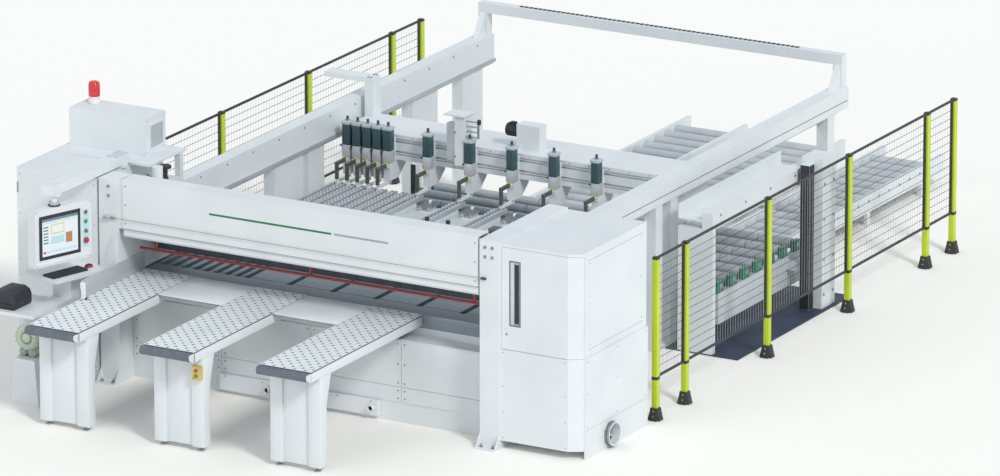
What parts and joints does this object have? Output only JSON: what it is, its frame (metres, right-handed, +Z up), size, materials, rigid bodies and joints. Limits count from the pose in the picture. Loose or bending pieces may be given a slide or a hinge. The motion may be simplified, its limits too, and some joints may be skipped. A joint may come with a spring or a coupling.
{
  "type": "cnc beam saw",
  "caption": "Rear-loading panel saw with air tables, press beam, clamp pusher on side beams, lift table fed by roller conveyors, and a mesh safety fence.",
  "frame": {"origin": "on the floor under the middle of the saw line", "axes": "+X along the saw line to the right cabinet, +Y from the operator to the infeed conveyors, +Z up"},
  "size_m": [6.097, 11.2599, 2.55],
  "materials": {
    "white_paint": "satin",
    "table_steel": "ground",
    "bright_steel": "bright",
    "dark_cast": "painted matt",
    "red_paint": "satin",
    "red_plastic": "gloss",
    "green_plastic": "gloss",
    "beacon_red": "translucent look",
    "teal_anodised": "anodised",
    "bare_aluminium": "satin",
    "black_plastic": "matt",
    "grey_plastic": "matt",
    "khaki_plastic": "matt",
    "roller_rubber": "matt",
    "blower_paint": "painted",
    "wire_plastic": "matt",
    "grey_paint": "satin",
    "roller_steel": "satin",
    "fence_paint": "satin"
  },
  "bodies": {
    "machine": {"machine_base": "white_paint", "front_panels": "white_paint", "work_table": "table_steel", "linear_rails": "bright_steel", "bridge_beam": "white_paint", "beam_cover": "white_paint", "left_column": "white_paint", "right_column": "white_paint", "column_bolts": "bright_steel", "pull_wire": "wire_plastic", "pull_switch": "grey_plastic", "roof_plate": "white_paint", "control_cabinet": "white_paint", "cabinet_cooler": "white_paint", "signal_beacon": "beacon_red", "operator_desk": "white_paint", "keyboard": "black_plastic", "label_printer": "black_plastic", "ring_blower": "blower_paint", "air_table_tops": "white_paint", "air_table_frames": "white_paint", "guide_fence": "bare_aluminium", "remote_box": "khaki_plastic", "right_cabinet": "white_paint", "side_beams": "white_paint", "beam_posts": "white_paint", "rear_gantry": "white_paint", "bed_frame": "white_paint", "roller_tracks": "bright_steel", "lift_frame": "white_paint", "infeed_frames": "grey_paint", "infeed_rollers": "roller_steel", "safety_fence": "fence_paint"},
    "saw_carriage_body": {"saw_carriage": "dark_cast"},
    "arbor": {"arbor_block": "dark_cast"},
    "main_blade_body": {"main_blade": "bright_steel"},
    "scoring_blade_body": {"scoring_blade": "bright_steel"},
    "press": {"press_beam": "dark_cast"},
    "trip_bar": {"safety_bar": "red_paint"},
    "arm": {"console_arm": "white_paint"},
    "console": {"console_housing": "white_paint", "console_screen": "black_plastic"},
    "start": {"start_button": "green_plastic"},
    "stop": {"stop_button": "red_plastic"},
    "key": {"key_switch": "bright_steel"},
    "estop": {"emergency_stop": "red_plastic"},
    "roller_left": {"end_roller_left": "roller_rubber"},
    "roller_middle": {"end_roller_middle": "roller_rubber"},
    "roller_right": {"end_roller_right": "roller_rubber"},
    "remote_green_button": {"remote_green": "green_plastic"},
    "remote_red_button": {"remote_red": "red_plastic"},
    "door": {"cabinet_door": "white_paint"},
    "pusher": {"pusher_beam": "white_paint", "clamp_arms": "white_paint", "clamp_cylinders": "teal_anodised", "aligner": "white_paint"},
    "jaws": {"clamp_jaws": "dark_cast"},
    "align_head": {"aligner_head": "bare_aluminium"},
    "lift": {"lift_platform": "grey_paint", "lift_rollers": "bright_steel"}
  },
  "joints": [
    {"name": "saw_travel", "type": "slide", "parent": "machine", "child": "saw_carriage_body", "axis": [1, 0, 0], "range_m": [-3.33, 0]},
    {"name": "arbor_lift", "type": "slide", "parent": "saw_carriage_body", "child": "arbor", "axis": [0, 0, 1], "range_m": [0, 0.1]},
    {"name": "main_blade_spin", "type": "hinge", "parent": "arbor", "child": "main_blade_body", "pos_m": [1.66, 0, 0.78], "axis": [0, 1, 0], "continuous": true},
    {"name": "scoring_spin", "type": "hinge", "parent": "arbor", "child": "scoring_blade_body", "pos_m": [1.33, 0, 0.813], "axis": [0, 1, 0], "continuous": true},
    {"name": "press_lift", "type": "slide", "parent": "machine", "child": "press", "axis": [0, 0, 1], "range_m": [-0.175, 0]},
    {"name": "safety_bar_swing", "type": "hinge", "parent": "machine", "child": "trip_bar", "pos_m": [0, -0.42, 1.41], "axis": [1, 0, 0], "range_deg": [0, 15]},
    {"name": "console_arm_swing", "type": "hinge", "parent": "machine", "child": "arm", "pos_m": [-2.185, -0.2, 1.98], "axis": [0, 0, 1], "range_deg": [-15, 20]},
    {"name": "console_turn", "type": "hinge", "parent": "arm", "child": "console", "pos_m": [-2.20472, -1.32983, 1.9], "axis": [0, 0, 1], "range_deg": [-60, 60]},
    {"name": "stop_press", "type": "slide", "parent": "console", "child": "stop", "axis": [-0.9367, 0.3502, 0], "range_m": [0, 0.004], "stiffness_N_per_m": 300},
    {"name": "start_press", "type": "slide", "parent": "console", "child": "start", "axis": [-0.9367, 0.3502, 0], "range_m": [0, 0.004], "stiffness_N_per_m": 300},
    {"name": "key_turn", "type": "hinge", "parent": "console", "child": "key", "pos_m": [-2.09265, -1.03009, 1.5617], "axis": [0.9367, -0.3502, 0], "range_deg": [0, 45]},
    {"name": "emergency_press", "type": "slide", "parent": "console", "child": "estop", "axis": [-0.9367, 0.3502, 0], "range_m": [0, 0.004], "stiffness_N_per_m": 300},
    {"name": "end_roller_left_spin", "type": "hinge", "parent": "machine", "child": "roller_left", "pos_m": [-1.652, -2.298, 0.964], "axis": [1, 0, 0], "continuous": true},
    {"name": "end_roller_middle_spin", "type": "hinge", "parent": "machine", "child": "roller_middle", "pos_m": [-0.425, -2.298, 0.964], "axis": [1, 0, 0], "continuous": true},
    {"name": "end_roller_right_spin", "type": "hinge", "parent": "machine", "child": "roller_right", "pos_m": [0.802, -2.298, 0.964], "axis": [1, 0, 0], "continuous": true},
    {"name": "remote_green_press", "type": "slide", "parent": "machine", "child": "remote_green_button", "axis": [0, 1, 0], "range_m": [0, 0.004], "stiffness_N_per_m": 300},
    {"name": "remote_red_press", "type": "slide", "parent": "machine", "child": "remote_red_button", "axis": [0, 1, 0], "range_m": [0, 0.004], "stiffness_N_per_m": 300},
    {"name": "cabinet_door_swing", "type": "hinge", "parent": "machine", "child": "door", "pos_m": [2.935, -0.585, 1.4], "axis": [0, 0, 1], "range_deg": [0, 100]},
    {"name": "pusher_travel", "type": "slide", "parent": "machine", "child": "pusher", "axis": [0, 1, 0], "range_m": [-2.95, 2.15]},
    {"name": "clamp_jaws_open", "type": "hinge", "parent": "pusher", "child": "jaws", "pos_m": [0, 3.322, 1.165], "axis": [-1, 0, 0], "range_deg": [0, 22]},
    {"name": "aligner_lower", "type": "slide", "parent": "pusher", "child": "align_head", "axis": [0, 0, 1], "range_m": [-0.15, 0]},
    {"name": "lift_travel", "type": "slide", "parent": "machine", "child": "lift", "axis": [0, 0, 1], "range_m": [-0.1, 0.29]}
  ]
}
